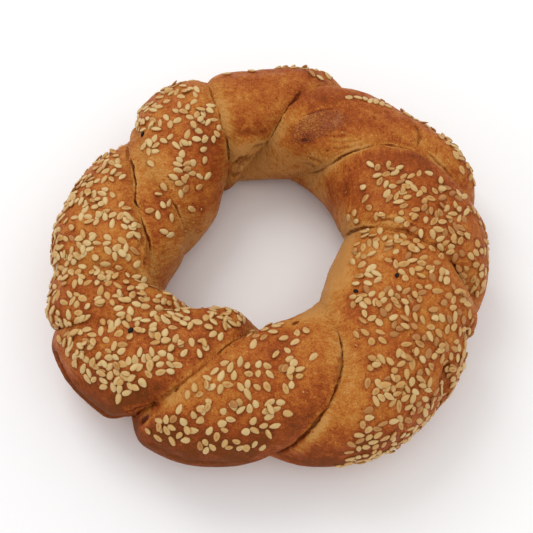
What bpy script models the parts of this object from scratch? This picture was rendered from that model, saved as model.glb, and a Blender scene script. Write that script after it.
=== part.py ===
"""Sesame bread ring.

Two ropes of dough are twisted round each other five times and closed into a ring, so ten swollen
lobes cross the top, with a crease between each two. The creases are the seams between the two
ropes. Each seam runs over the outer side, the top, the hole's side and the flat underside, and
comes out again as the next crease but one.

A point of the crust has a ring angle, anticlockwise from +X as seen from above, and a section
angle round the dough: 0 on the outer side, 90 on top, 180 on the hole's side and 270 underneath.
Angles are in degrees and lengths in millimetres. The ring rests on z = 0, and once shaped it is
moved sideways so that its origin is the middle of its box.
"""
from collections import namedtuple

import bpy
import bmesh
import numpy as np

MM = 0.001
RING_NAME = "bread_ring"
CRUST_COLOUR = (0.42, 0.17, 0.045, 1.0)
CRUST_ROUGHNESS = 0.48

# A crease's ring angles are read where the section angle is low, outer, top and inner.
STATIONS = (-30.0, 30.0, 90.0, 150.0)

# angles: ring angle at each station
# depths: how deep the crease lies on the outer side, on top and on the hole's side
# rounding: how far from the crease the lobe before and the lobe after it are rounded off
# cleft: extra depth of the narrow slit at the bottom of the crease
Crease = namedtuple("Crease", "angles depths rounding cleft")

# reach: the lobe's greatest distance from the ring's axis, near its first and its second crease
# height: top above the table
# hole: distance from the ring's axis to the hole's side
Lobe = namedtuple("Lobe", "reach height hole")

# The creases anticlockwise, starting with the one at the front.
CREASES = (
    Crease((-90, -79.5, -64, -54), (6.1, 2.2, 1.0), (12, 10), 1.0),
    Crease((-23, -14.5, -5.5, 4.5), (6.5, 1.6, 1.6), (11, 7), 0.4),
    Crease((6, 14, 37, 54), (7.3, 1.6, 1.2), (8, 11), 0.7),
    Crease((56, 64, 77, 89), (7.8, 1.5, 4.6), (9, 9), 0.6),
    Crease((105, 108, 110, 110.5), (2.2, 1.6, 3.6), (8, 10), 0.6),
    Crease((130, 135, 149, 164), (2.3, 0.5, 1.4), (8, 10), 0.2),
    Crease((132, 141, 160, 197), (0.7, 1.8, 3.0), (9, 8), 0.7),
    Crease((183, 190, 196, 206), (1.4, 1.3, 4.2), (8, 8), 0.3),
    Crease((200, 206, 216, 230), (4.0, 0.7, 0.3), (7, 7), 0.2),
    Crease((231, 238.5, 250.3, 264), (5.0, 1.3, 7.8), (9, 8), 0.5),
)

# Each lobe lies between its crease and the next one.
LOBES = (
    Lobe((71.4, 69.1), 36.0, 20.1),
    Lobe((68.2, 68.7), 36.0, 25.0),
    Lobe((70.7, 68.0), 34.0, 31.5),
    Lobe((68.5, 66.2), 35.5, 31.2),
    Lobe((68.0, 67.4), 34.5, 23.7),
    Lobe((63.1, 62.0), 33.0, 25.8),
    Lobe((65.2, 66.9), 34.5, 33.0),
    Lobe((67.9, 69.6), 34.0, 31.8),
    Lobe((72.0, 67.6), 35.5, 23.3),
    Lobe((69.0, 65.5), 35.5, 24.3),
)
REACH_SPOTS = (0.27, 0.73)      # where across a lobe its two reaches are measured

# Shallow dents pressed across the lobes: ring angle, section angle, half length along the ring,
# half length round the section, depth
DENTS = (
    (-27.0, -12.0, 4.5, 14.0, 3.2),
    (68.0, 172.0, 5.0, 9.0, 1.2),
)

MIDDLE_HEIGHT = 0.46            # height of the section's widest place, as a share of its height
ROUND_TOP = 2.25                # section's roundness above the widest place: 2 is an ellipse
BOXY_FOOT = 2.6                 # and below it
SUNK_BELOW_TABLE = 1.2          # how far the round form reaches below the flat it is cut off at
FOOT_FLATNESS = 0.6             # share of a crease's depth that is pressed flat underneath
SWELL_POWER = 2.2               # how a lobe falls away towards its crease
CLEFT_WIDTH = 0.9

COLUMNS_PER_LOBE = 15
ROWS = 30
CROWDING = 0.11                 # how much the columns crowd towards the creases
MERGE_DISTANCE = 0.00001


def smooth_step(value):
    """Rise from 0 to 1 with level ends."""
    clipped = np.clip(value, 0.0, 1.0)
    return clipped * clipped * (3.0 - 2.0 * clipped)


def smooth_curve(at, knots, values):
    """Read a smooth curve through the given points. Its slopes follow the neighbouring points."""
    steps = np.diff(knots)
    rises = np.diff(values) / steps
    slopes = np.gradient(values, knots)
    slopes[1:-1] = (rises[:-1] * steps[1:] + rises[1:] * steps[:-1]) / (steps[1:] + steps[:-1])
    left = np.clip(np.searchsorted(knots, at) - 1, 0, len(knots) - 2)
    width = steps[left]
    t = (at - knots[left]) / width
    return ((2 * t**3 - 3 * t**2 + 1) * values[left]
            + (t**3 - 2 * t**2 + t) * width * slopes[left]
            + (3 * t**2 - 2 * t**3) * values[left + 1]
            + (t**3 - t**2) * width * slopes[left + 1])


def around_ring(ring_angle, spots, values):
    """Read values given at a few ring angles as a smooth curve that closes after a full turn."""
    spots = np.mod(spots, 360.0)
    order = np.argsort(spots)
    spots = spots[order]
    values = np.asarray(values, dtype=float)[order]
    spots = np.concatenate([spots[-3:] - 360.0, spots, spots[:3] + 360.0])
    values = np.concatenate([values[-3:], values, values[:3]])
    return smooth_curve(np.mod(ring_angle, 360.0), spots, values)


def crease_angles(section_angle):
    """Ring angle of each crease at the given section angles, one row for each crease.

    Every second crease belongs to the same seam, so the seam is followed through all its
    creases as one long curve, with one full turn of the section from each to the next.
    """
    lines = np.zeros((len(CREASES), len(section_angle)))
    for seam in (0, 1):
        creases = CREASES[seam::2]
        turns = len(creases)
        knots = [station + 360.0 * turn for turn in range(turns) for station in STATIONS]
        angles = [angle for crease in creases for angle in crease.angles]
        knots = np.array(knots)
        angles = np.array(angles, dtype=float)
        knots = np.concatenate([knots - 360.0 * turns, knots, knots + 360.0 * turns])
        angles = np.concatenate([angles - 360.0, angles, angles + 360.0])
        for turn in range(turns):
            lines[seam + 2 * turn] = smooth_curve(section_angle + 360.0 * turn, knots, angles)
    return lines


def crease_depth(section_angle, crease, next_of_seam):
    """How deep a crease is, from its start on the outer side to where the next one takes over."""
    outer, top, inner = crease.depths
    up = outer + (top - outer) * smooth_step((section_angle - 20.0) / 60.0)
    over = top + (inner - top) * smooth_step((section_angle - 100.0) / 60.0)
    under = inner + (next_of_seam.depths[0] - inner) * smooth_step((section_angle - 190.0) / 150.0)
    return np.where(section_angle <= 90.0, up, np.where(section_angle <= 180.0, over, under))


def crust_points():
    """Points of the crust in metres, one row for each column and one column for each row."""
    section_angle = np.arange(ROWS + 1) * 360.0 / ROWS
    lines = crease_angles(section_angle)
    next_lines = np.concatenate([lines[1:], lines[:1] + 360.0])
    widths = next_lines - lines

    even = np.arange(COLUMNS_PER_LOBE) / COLUMNS_PER_LOBE
    across = even - CROWDING * np.sin(2.0 * np.pi * even)
    ring_angle = lines[:, None, :] + widths[:, None, :] * across[None, :, None]
    section = np.radians(section_angle)

    stations = crease_angles(np.array(STATIONS))
    spans = np.concatenate([stations[1:], stations[:1] + 360.0]) - stations
    outer_spots = np.concatenate([stations[:, 1] + spans[:, 1] * spot for spot in REACH_SPOTS])
    reach = around_ring(ring_angle, outer_spots, [lobe.reach[i] for i in (0, 1) for lobe in LOBES])
    height = around_ring(ring_angle, stations[:, 2] + spans[:, 2] / 2, [lobe.height for lobe in LOBES])
    hole = around_ring(ring_angle, stations[:, 3] + spans[:, 3] / 2, [lobe.hole for lobe in LOBES])

    middle = (reach + hole) / 2
    half_width = (reach - hole) / 2
    middle_height = height * MIDDLE_HEIGHT
    above = np.sin(section) > 0.0
    rise = np.where(above, height - middle_height, middle_height + SUNK_BELOW_TABLE)
    power = np.where(above, ROUND_TOP, BOXY_FOOT)
    round_form = (np.abs(np.cos(section) / half_width)**power
                  + np.abs(np.sin(section) / rise)**power)**(-1.0 / power)

    from_axis = middle + round_form * np.cos(section)
    slant = (crease_angles(section_angle + 1.0) - crease_angles(section_angle - 1.0)) / 2.0
    next_slant = np.concatenate([slant[1:], slant[:1]])
    pressed = smooth_step((-np.sin(section) - 0.3) / 0.5)
    taken_over = smooth_step((section_angle - 200.0) / 130.0)
    own = 1.0 - taken_over
    sunk = np.zeros_like(ring_angle)
    for index in range(len(CREASES)):
        following = (index + 1) % len(CREASES)
        sides = (
            (index, 1, ring_angle[index] - lines[index], slant[index]),
            (following, 0, next_lines[index] - ring_angle[index], next_slant[index]),
        )
        distances = []
        for number, side, angle, tilt in sides:
            along_ring = np.radians(angle) * from_axis[index]
            straightness = round_form[index] / np.hypot(round_form[index], from_axis[index] * tilt)
            distances.append(along_ring * straightness)
        half_lobe = (distances[0] + distances[1]) / 2
        for (number, side, angle, tilt), distance in zip(sides, distances):
            crease = CREASES[number]
            next_of_seam = CREASES[(number + 2) % len(CREASES)]
            rounding = crease.rounding[side] * own + next_of_seam.rounding[side] * taken_over
            rounding = np.where(half_lobe < rounding, (half_lobe + rounding) / 2, rounding)
            fall = (1.0 - np.clip(distance / rounding, 0.0, 1.0))**SWELL_POWER
            slit = crease.cleft * own + next_of_seam.cleft * taken_over
            cleft = slit * np.exp(-(distance / CLEFT_WIDTH)**1.2)
            depth = crease_depth(section_angle, crease, next_of_seam)
            sunk[index] += (depth * fall + cleft) * (1.0 - FOOT_FLATNESS * pressed)

    for ring, around, half_length, half_girth, depth in DENTS:
        along = np.radians(np.mod(ring_angle - ring + 180.0, 360.0) - 180.0) * from_axis
        girth = np.radians(np.mod(section_angle - around + 180.0, 360.0) - 180.0) * round_form
        sunk += depth * np.exp(-(along / half_length)**2 - (girth / half_girth)**2)

    radius = round_form - sunk
    from_axis = middle + radius * np.cos(section)
    ring = np.radians(ring_angle)
    z = middle_height + radius * np.sin(section)
    points = np.stack([from_axis * np.cos(ring), from_axis * np.sin(ring), z], axis=-1)
    points = points.reshape(len(CREASES) * COLUMNS_PER_LOBE, ROWS + 1, 3)
    box_centre = (points.min(axis=(0, 1)) + points.max(axis=(0, 1))) / 2
    points[:, :, :2] -= box_centre[:2]
    return points * MM


def crust_mesh():
    """The closed crust: a flat grid wrapped round the section and round the ring."""
    points = crust_points()
    columns = len(points)
    wrapped = np.concatenate([points, points[:1]])

    crust = bmesh.new()
    bmesh.ops.create_grid(crust, x_segments=columns, y_segments=ROWS, size=0.5)
    for vert in crust.verts:
        column = round((vert.co.x + 0.5) * columns)
        row = round((vert.co.y + 0.5) * ROWS)
        vert.co = wrapped[column, row]
    bmesh.ops.remove_doubles(crust, verts=crust.verts[:], dist=MERGE_DISTANCE)
    bmesh.ops.recalc_face_normals(crust, faces=crust.faces[:])
    bmesh.ops.triangulate(crust, faces=crust.faces[:], quad_method="SHORT_EDGE")

    mesh = bpy.data.meshes.new(RING_NAME)
    crust.to_mesh(mesh)
    crust.free()
    return mesh


def crust_material():
    """Baked crust: golden brown with a dull sheen."""
    material = bpy.data.materials.new("baked_crust")
    material.use_nodes = True
    surface = material.node_tree.nodes["Principled BSDF"]
    surface.inputs["Base Color"].default_value = CRUST_COLOUR
    surface.inputs["Roughness"].default_value = CRUST_ROUGHNESS
    surface.inputs["Metallic"].default_value = 0.0
    return material


def below_table(collection):
    """A wide box below the table, which cuts the ring's underside flat."""
    reach = max(max(lobe.reach) for lobe in LOBES) * 2.6 * MM
    depth = 10.0 * MM
    bpy.ops.mesh.primitive_cube_add(size=1.0, location=(0.0, 0.0, -depth / 2))
    box = bpy.context.object
    box.name = "below_table"
    box.scale = (reach, reach, depth)
    box.hide_render = True
    box.display_type = "WIRE"
    for user in list(box.users_collection):
        user.objects.unlink(box)
    collection.objects.link(box)
    return box


def bread_ring(collection, cutter):
    """The bread ring, one solid from crust to crust."""
    ring = bpy.data.objects.new(RING_NAME, crust_mesh())
    collection.objects.link(ring)
    ring.data.materials.append(crust_material())
    flat = ring.modifiers.new("flat underside", "BOOLEAN")
    flat.operation = "DIFFERENCE"
    flat.solver = "EXACT"
    flat.object = cutter
    return ring


def main():
    for item in list(bpy.data.objects):
        bpy.data.objects.remove(item)
    scene = bpy.context.scene
    solids = bpy.data.collections.new("sesame_bread_ring")
    cutters = bpy.data.collections.new("cutters")
    scene.collection.children.link(solids)
    scene.collection.children.link(cutters)
    bread_ring(solids, below_table(cutters))


main()
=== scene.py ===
"""Looks of the sesame bread ring: its crust, its sesame seeds and the stage it is shown on.

Two ropes of dough are twisted round each other five times and closed into a ring, which leaves ten
lobes with a crease between each two. A place on the crust is named by its lobe, by how far across
the lobe it lies (0 at its first crease, 1 at the next) and by its section angle round the dough:
0 on the outer side, 90 on top, 180 on the hole's side and 270 (or -90) underneath. Lengths are in
millimetres until a mesh is made.
"""

import math
from collections import namedtuple
from functools import partialmethod

import bpy
import numpy as np
from bpy.props import FloatProperty, FloatVectorProperty, IntProperty, PointerProperty
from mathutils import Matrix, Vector
from mathutils.kdtree import KDTree


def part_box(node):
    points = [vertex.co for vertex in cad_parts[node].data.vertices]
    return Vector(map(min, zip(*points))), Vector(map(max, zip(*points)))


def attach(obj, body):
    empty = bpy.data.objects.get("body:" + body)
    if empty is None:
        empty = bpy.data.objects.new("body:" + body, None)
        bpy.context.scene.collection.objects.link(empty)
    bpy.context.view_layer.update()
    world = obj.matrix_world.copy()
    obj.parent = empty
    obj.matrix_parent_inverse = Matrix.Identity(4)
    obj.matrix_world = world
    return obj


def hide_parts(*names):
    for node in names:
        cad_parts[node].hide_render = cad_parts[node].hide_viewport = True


bl_info = {
    "name": "Sesame Bread Ring",
    "version": (1, 0, 0),
    "blender": (4, 5, 0),
    "location": "3D View > Sidebar > Bread Ring",
    "description": "Builds a twisted bread ring with sesame seeds on a plain stage",
    "category": "Add Mesh",
}

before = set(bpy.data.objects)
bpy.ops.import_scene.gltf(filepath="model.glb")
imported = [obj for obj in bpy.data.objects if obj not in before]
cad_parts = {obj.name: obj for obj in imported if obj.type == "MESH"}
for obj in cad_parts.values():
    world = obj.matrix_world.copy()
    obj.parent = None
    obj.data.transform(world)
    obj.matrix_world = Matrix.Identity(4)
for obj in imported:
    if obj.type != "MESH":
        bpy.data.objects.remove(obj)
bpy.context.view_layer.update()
RING_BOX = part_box("bread_ring")

MM = 0.001

# ---- Form of the dough ----

STATIONS = (-30.0, 30.0, 90.0, 150.0)   # section angles at which a crease's ring angles are given

# angles: ring angle at each station
# depths: how deep the crease lies on the outer side, on top and on the hole's side
# rounding: how far from the crease the lobe before and the lobe after it are rounded off
# cleft: extra depth of the narrow slit at the bottom
Crease = namedtuple("Crease", "angles depths rounding cleft")
CREASES = [Crease(*row) for row in (
    ((-90, -79.5, -64, -54), (4.0, 2.2, 1.0), (12, 10), 0.3),
    ((-23, -14.5, -5.5, 4.5), (6.5, 1.6, 1.6), (11, 7), 0.1),
    ((6, 14, 37, 54), (8.0, 1.6, 2.2), (8, 11), 0.2),
    ((56, 64, 77, 89), (7.8, 1.5, 4.6), (9, 9), 0.2),
    ((105, 108, 110, 110.5), (3.2, 1.6, 3.6), (8, 10), 0.2),
    ((130, 135, 149, 164), (2.3, 0.5, 1.4), (8, 10), 0.0),
    ((132, 141, 160, 197), (1.2, 1.8, 3.0), (9, 8), 0.1),
    ((183, 190, 196, 206), (1.4, 1.3, 2.6), (8, 8), 0.0),
    ((200, 206, 216, 226), (2.8, 0.7, 3.4), (7, 7), 0.0),
    ((231, 238.5, 250.3, 264), (6.0, 1.3, 7.8), (7, 9), 0.1),
)]

# reach: greatest distance from the ring's axis, near the first and the second crease
# height: top above the table
# hole: distance from the ring's axis to the hole's side
Lobe = namedtuple("Lobe", "reach height hole")
LOBES = [Lobe(*row) for row in (
    ((71.4, 69.1), 35.6, 20.9), ((68.2, 68.7), 35.6, 25.7), ((71.0, 66.0), 34.0, 30.8),
    ((67.2, 64.4), 35.5, 31.2), ((67.0, 66.2), 34.5, 22.4), ((62.2, 60.2), 33.0, 25.8),
    ((63.2, 65.8), 34.5, 33.0), ((66.9, 69.6), 34.0, 31.2), ((71.2, 69.6), 35.5, 24.1),
    ((69.6, 65.8), 35.5, 25.6),
)]
REACH_SPOTS = (0.27, 0.73)              # where across a lobe its two reaches are given

# ring angle, section angle, half length along the ring, half length round the section, depth
DENTS = ((-27.0, -12.0, 4.5, 14.0, 3.2), (68.0, 172.0, 5.0, 9.0, 1.2))

MIDDLE_HEIGHT = 0.46                    # height of the dough's middle, as a share of the lobe's
ROUND_TOP = 2.25                        # powers of the section's rounded form: 2 is an ellipse
BOXY_FOOT = 2.6
SUNK_BELOW_TABLE = 1.2                  # how far the section would reach below the table
FOOT_FLATNESS = 0.6                     # how much shallower the creases are underneath
SWELL_POWER = 2.2                       # how steeply a lobe swells up from its crease
CLEFT_WIDTH = 0.75
COLUMN_CROWDING = 0.08                  # how much the columns crowd towards the creases
ROW_CROWDING = 22.0                     # how much the rows crowd towards the top, in degrees
SEED_GRID = (40, 120)                   # columns per lobe and rows of the grid seeds are placed on
MERGE_DISTANCE = 0.000003               # corners closer than this are made one, in metres

# ---- Cracks, folds and pits ----


def crack(lobe, low, high, width, depth, step=0.0, dark=1.0, lip=0.5, sway=0.0):
    """A crack along the lobe's first crease, from one section angle up to another."""
    steps = max(3, round((high - low) / 12.0))
    sections = [low + (high - low) * number / steps for number in range(steps + 1)]
    course = [(sway * math.sin(section * 0.19 + lobe), section) for section in sections]
    return lobe, course, width, depth, step, dark, lip


GROOVE_REACH = 7.0          # grid points further than this from a groove are left out
GROOVE_SWAY = 0.28          # how far a groove strays from its course, in half widths
GROOVE_SWAY_PITCH = 5.0
GROOVE_WIDTH_PITCH = 3.2    # how far apart a groove is wide and narrow
SHORTEST_TAPERED = 3.0      # a groove shorter than this keeps its width to its ends
LONGEST_TAPER = 5.0
LIP_HEIGHT = 0.16           # how far a groove's edges stand up, as a share of its depth
STEP_WIDTH = 2.6            # how far from a groove the crust still stands higher on one side

# A groove starts on the lobe named and follows a course of places (across, section angle), where
# across may run on past the lobe's ends. A course of one place is a pit. Then come its greatest
# half width, its greatest depth, how much higher the crust stands on the left of the course, how
# dark the painted shade at its bottom is and how pale its edges are.
GROOVES = (
    (0, ((0.006, 58), (0.006, 48), (0.005, 36), (0.004, 22), (0.003, 8), (0.003, -6),
     (0.004, -18)), 0.7, 1.0, 0.7, 0.62, 0.3),
    crack(0, -50, 10, 0.5, 0.6, 0.0, 0.5, 0.1),
    crack(0, 50, 124, 0.44, 0.6, 0.6, 0.75, 0.4),
    # a wide, shallow groove along lobe 9's edge beside crack E, whose darkening is painted shade
    (9, ((0.985, 104), (0.985, 92), (0.985, 80), (0.985, 66)), 1.1, 0.2, 0.0, 0.3, 0.0),
    crack(1, -30, 60, 0.8, 0.9, 0.0, 0.5, 0.1),
    crack(1, 58, 128, 0.45, 0.4, -0.3, 0.25, 0.3, 0.01),
    crack(1, 126, 176, 0.42, 0.7, -0.3, 0.6),
    (1, ((0.06, 130), (0.08, 116), (0.08, 102), (0.07, 88)), 0.55, 0.35, 0.2, 0.25, 0.7),
    (0, ((0.96, 124), (0.95, 110), (0.95, 96), (0.96, 84)), 0.55, 0.3, 0.0, 0.2, 0.5),
    crack(2, -20, 60, 0.7, 0.9, 0.0, 0.6, 0.2),
    crack(2, 68, 100, 0.3, 0.4, -0.2, 0.5, 0.9, 0.014),
    crack(2, 98, 150, 0.36, 0.6, -0.3, 0.66, 0.9, 0.012),
    crack(2, 146, 188, 0.32, 0.4, -0.2, 0.45),
    crack(3, 40, 74, 0.7, 0.6, 0.0, 0.3, 0.2),
    (3, ((0.02, 84), (0.01, 90), (0.0, 96), (-0.01, 102), (0.0, 110)), 0.7, 0.7, 0.3, 0.55, 0.2),
    crack(3, 98, 156, 0.36, 0.5, 0.4, 0.75, 0.6),
    crack(4, 60, 102, 0.32, 0.4, -0.2, 0.4, 0.4),
    crack(4, 97, 130, 0.26, 0.4, -0.2, 0.6, 0.5, 0.008),
    crack(4, 125, 172, 0.38, 0.7, -0.4, 0.58, 0.5, 0.006),
    crack(6, 40, 66, 0.55, 0.4, 0.0, 0.25, 0.2),
    # the lone flap's crack, with a short side branch where it jogs
    (5, ((0.9, 60), (0.81, 67), (0.7, 79), (0.74, 88), (0.8, 96), (0.93, 100), (0.95, 106),
     (0.87, 111), (0.74, 115)), 0.42, 0.9, 0.3, 1.0, 0.5),
    (5, ((0.89, 113), (0.93, 118), (0.94, 124), (0.93, 131), (0.93, 137), (0.95, 142)), 0.34, 0.7,
     0.3, 0.85, 0.6),
    (5, ((0.97, 139), (0.86, 145)), 0.3, 0.4, 0.0, 0.7, 0.9),
    crack(8, 4, 40, 0.6, 0.7, 0.0, 0.7, 0.3),
    crack(9, -24, 20, 0.8, 1.4, 0.5, 0.8, 0.4, 0.008),
    (9, ((-0.11, 19), (-0.08, 26), (-0.05, 31), (-0.02, 35), (0.03, 39)), 0.85, 1.2, 0.3, 1.0,
     0.5),
    crack(9, 40, 96, 0.6, 0.3, 0.2, 0.08, 0.4),
    crack(9, 94, 136, 0.4, 0.5, 0.2, 0.45, 0.3),
    # the hairline at the seeded flap's edge
    (5, ((-0.03, 126), (-0.02, 131), (0.0, 145), (0.07, 158), (0.12, 166)), 0.32, 0.5, 0.1, 0.75,
     0.5),
    # the flap that is folded over on the lobe at the back
    (2, ((0.02, 72), (0.08, 68), (0.17, 62), (0.32, 55), (0.43, 51), (0.5, 44)), 0.8, 0.6, 0.9,
     0.22, 0.5),
    (2, ((0.04, 66), (0.05, 60), (0.04, 54), (0.05, 48), (0.05, 42), (0.07, 32)), 0.4, 0.5, 0.0,
     0.35, 1.0),
    # the blister's upper edge, its torn spot and the ripples beside it
    (2, ((0.8, 118), (0.74, 110), (0.68, 103), (0.64, 96), (0.57, 90)), 0.5, 0.5, -0.4, 0.45, 0.3),
    (2, ((0.6, 138), (0.55, 135), (0.5, 133)), 0.65, 0.6, 0.0, 0.65, 0.3),
    (2, ((0.42, 125), (0.32, 118), (0.24, 112), (0.18, 104)), 0.5, 0.25, 0.0, 0.1, 0.4),
    (2, ((0.34, 128), (0.24, 122), (0.15, 114), (0.1, 104)), 0.5, 0.25, 0.0, 0.1, 0.4),
    (2, ((0.26, 130), (0.17, 127), (0.09, 121), (0.05, 112)), 0.45, 0.2, 0.0, 0.1, 0.4),
    # fine folds where the dough is drawn into the hole
    (2, ((0.02, 152), (0.12, 149), (0.26, 150), (0.4, 153)), 0.6, 0.5, 0.2, 0.3, 0.3),
    (2, ((0.04, 163), (0.18, 161), (0.32, 165)), 0.8, 0.5, 0.1, 0.3, 0.2),
    (3, ((-0.04, 150), (0.12, 151), (0.3, 150), (0.44, 153)), 1.0, 0.7, -0.5, 0.3, 0.6),
    (3, ((0.35, 160), (0.55, 159), (0.75, 164), (0.96, 168)), 1.2, 1.0, -0.6, 0.45, 0.5),
    (3, ((0.0, 170), (0.25, 167), (0.55, 169), (0.85, 176)), 1.6, 1.1, -0.5, 0.35, 0.4),
    (3, ((0.15, 186), (0.45, 184), (0.75, 184), (1.0, 182)), 1.4, 0.9, -0.3, 0.35, 0.3),
    (3, ((0.08, 131), (0.3, 133), (0.6, 131), (0.86, 126)), 1.2, 0.5, -0.3, 0.08, 0.5),
    # wrinkles below the lone flap
    (6, ((0.02, 121), (0.25, 125), (0.52, 122), (0.75, 123)), 0.7, 0.7, 0.3, 0.2, 0.4),
    (6, ((0.15, 136), (0.4, 134), (0.66, 136)), 0.75, 0.8, 0.2, 0.35, 0.3),
    # the edge of the skirt round the foot at the front left
    (8, ((0.12, 22), (0.28, 16), (0.42, 10), (0.56, 5), (0.7, 2), (0.84, 0), (1.0, -2)), 0.7, 1.0,
     -0.5, 0.8, 0.4),
    (9, ((0.12, 12), (0.3, 4), (0.5, 0), (0.7, -2)), 0.8, 0.4, -0.4, 0.2, 0.2),
    # notches in the outer edge at the right
    (0, ((0.8, 32), (0.81, 16), (0.82, 0), (0.84, -18)), 3.0, 2.4, 0.0, 0.1, 0.0),
    (0, ((0.62, 34), (0.61, 18), (0.61, 0), (0.61, -14)), 2.6, 2.6, 0.0, 0.1, 0.0),
    # pits
    (9, ((0.05, 25), (0.05, 18)), 1.1, 1.2, 0.0, 1.0, 0.3),
    (9, ((0.01, 60),), 0.75, 0.8, 0.0, 0.7, 0.1),
    (9, ((0.6, 140), (0.57, 138)), 0.9, 0.9, 0.0, 0.8, 0.3),
    (0, ((0.73, 107),), 0.7, 0.6, 0.0, 0.8, 0.1),
    (2, ((0.2, 133),), 0.5, 0.5, 0.0, 0.5, 0.1),
    (2, ((0.38, 77), (0.42, 75)), 0.6, 0.3, 0.0, 0.4, 0.1),
    (3, ((0.64, 97),), 0.6, 0.4, 0.0, 0.4, 0.1),
)

# ---- Where the crust is browner or paler, where shade is painted on it and where the seeds lie, by lobe ----

# A patch: across, section angle, half width across, half width in section angle, amount
# Most patches brown or pale the crust itself. Painted shade: the foot patches of lobes 8 and 9 in
# part, lobe 0 (0.28, 14), lobe 8 (0.8, 36) and lobe 9 (0.68, 33) on the lower front, and lobe 5
# (0.8, 170) in a hollow by the hole.
BROWNING_AND_SHADE = {
    0: ((0.07, 85, 0.11, 50, -0.22), (0.44, 142, 0.32, 12, -0.24), (0.88, 120, 0.14, 12, -0.2),
        (0.05, -14, 0.14, 14, 0.34), (0.06, 116, 0.07, 10, 0.24), (0.08, 4, 0.2, 24, 0.28),
        (0.5, 163, 0.7, 20, -0.95), (0.58, 76, 0.34, 42, -0.12), (0.03, 16, 0.018, 26, -0.5),
        (0.02, 37, 0.03, 12, -0.5), (0.15, 40, 0.12, 14, -0.1), (0.28, 14, 0.13, 15, 0.3),
        (0.33, 50, 0.1, 14, -0.2), (0.76, 56, 0.12, 16, -0.16), (0.74, 123, 0.16, 14, -0.16)),
    1: ((0.6, 160, 0.3, 26, 0.34), (0.8, 84, 0.18, 36, 0.46), (1.0, 148, 0.08, 45, -0.45),
        (0.35, 75, 0.3, 35, 0.14), (0.08, 175, 0.12, 22, -0.2), (0.8, 190, 0.22, 16, -0.5),
        (0.45, 104, 0.22, 12, -0.14), (0.06, 24, 0.08, 20, -0.16)),
    2: ((0.96, 105, 0.05, 10, 0.36), (0.54, 132, 0.17, 10, 0.5), (0.42, 113, 0.14, 14, 0.21),
        (0.12, 120, 0.12, 28, -0.15), (0.1, 54, 0.15, 13, -0.24), (0.04, 42, 0.06, 8, 0.35),
        (0.05, 76, 0.08, 12, 0.28), (0.36, 60, 0.18, 11, 0.36), (0.62, 178, 0.5, 26, -0.48),
        (0.6, 84, 0.35, 18, 0.3), (0.92, 136, 0.08, 24, -0.48), (0.88, 98, 0.12, 14, 0.2),
        (0.84, 214, 0.36, 16, -0.5), (0.3, 160, 0.2, 12, -0.2)),
    3: ((0.5, 128, 0.42, 9, 0.24), (0.45, 151, 0.45, 8, -1.15), (0.5, 178, 0.6, 18, -0.38),
        (0.5, 90, 0.36, 24, -0.01), (0.36, 58, 0.4, 14, 0.34), (0.93, 108, 0.09, 40, -0.44),
        (0.05, 94, 0.08, 16, 0.22), (0.03, 113, 0.05, 10, 0.26)),
    4: ((0.45, 168, 0.45, 24, 0.02), (0.92, 108, 0.12, 32, -0.22), (0.4, 62, 0.5, 18, -0.16),
        (0.1, 138, 0.1, 20, 0.15), (0.24, 140, 0.16, 22, 0.36), (0.7, 112, 0.12, 12, 0.22),
        (0.14, 82, 0.16, 14, -0.36), (0.76, 192, 0.35, 16, -0.46)),
    5: ((0.45, 78, 0.6, 32, -0.24), (0.4, 131, 0.4, 14, 0.18), (0.3, 170, 0.5, 22, -0.36),
        (0.94, 151, 0.12, 9, -0.5), (0.8, 170, 0.12, 10, 0.12), (0.92, 177, 0.1, 10, -0.42),
        (0.74, 116, 0.12, 12, 0.2)),
    6: ((0.78, 126, 0.15, 22, -0.46), (0.92, 62, 0.16, 14, -0.16), (0.6, 78, 0.5, 35, -0.15),
        (0.12, 98, 0.12, 14, 0.2), (0.4, 150, 0.5, 18, -0.2)),
    7: ((0.6, 50, 0.24, 9, 0.28), (0.58, 95, 0.34, 20, 0.04), (0.12, 87, 0.12, 16, -0.16)),
    8: ((0.48, 62, 0.26, 18, -0.1), (0.45, 3, 0.65, 26, 0.72), (0.92, 66, 0.1, 24, 0.24),
        (0.8, 36, 0.3, 15, 0.52), (0.9, 54, 0.1, 10, 0.3), (0.5, 118, 0.5, 22, 0.16)),
    9: ((0.94, 84, 0.08, 14, 0.1), (0.45, 1, 0.7, 25, 0.7), (0.68, 33, 0.38, 18, 0.42),
        (0.38, 74, 0.18, 12, -0.16), (0.92, 56, 0.08, 16, 0.44), (0.22, 34, 0.1, 12, 0.3),
        (0.62, 104, 0.12, 16, 0.1), (0.82, 118, 0.14, 18, -0.14), (0.18, 100, 0.14, 16, 0.14),
        (0.8, 150, 0.3, 14, -0.35), (0.06, 52, 0.12, 15, -0.46), (0.1, 80, 0.1, 20, -0.2),
        (0.05, 23, 0.05, 10, -0.36), (0.48, 108, 0.14, 12, 0.22)),
}

# Where the crust is blistered and glossy
BLISTER = {2: ((0.62, 127, 0.2, 17, 0.9), (0.52, 107, 0.18, 17, 0.9))}

# How much browner than usual the seeds themselves are
SEED_TOASTING = {lobe: ((0.5, section, 0.6, 60, amount),) for lobe, section, amount in (
    (0, 70, 0.36), (1, 60, 0.38), (4, 60, 0.06), (7, 60, 0.06))}

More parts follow.
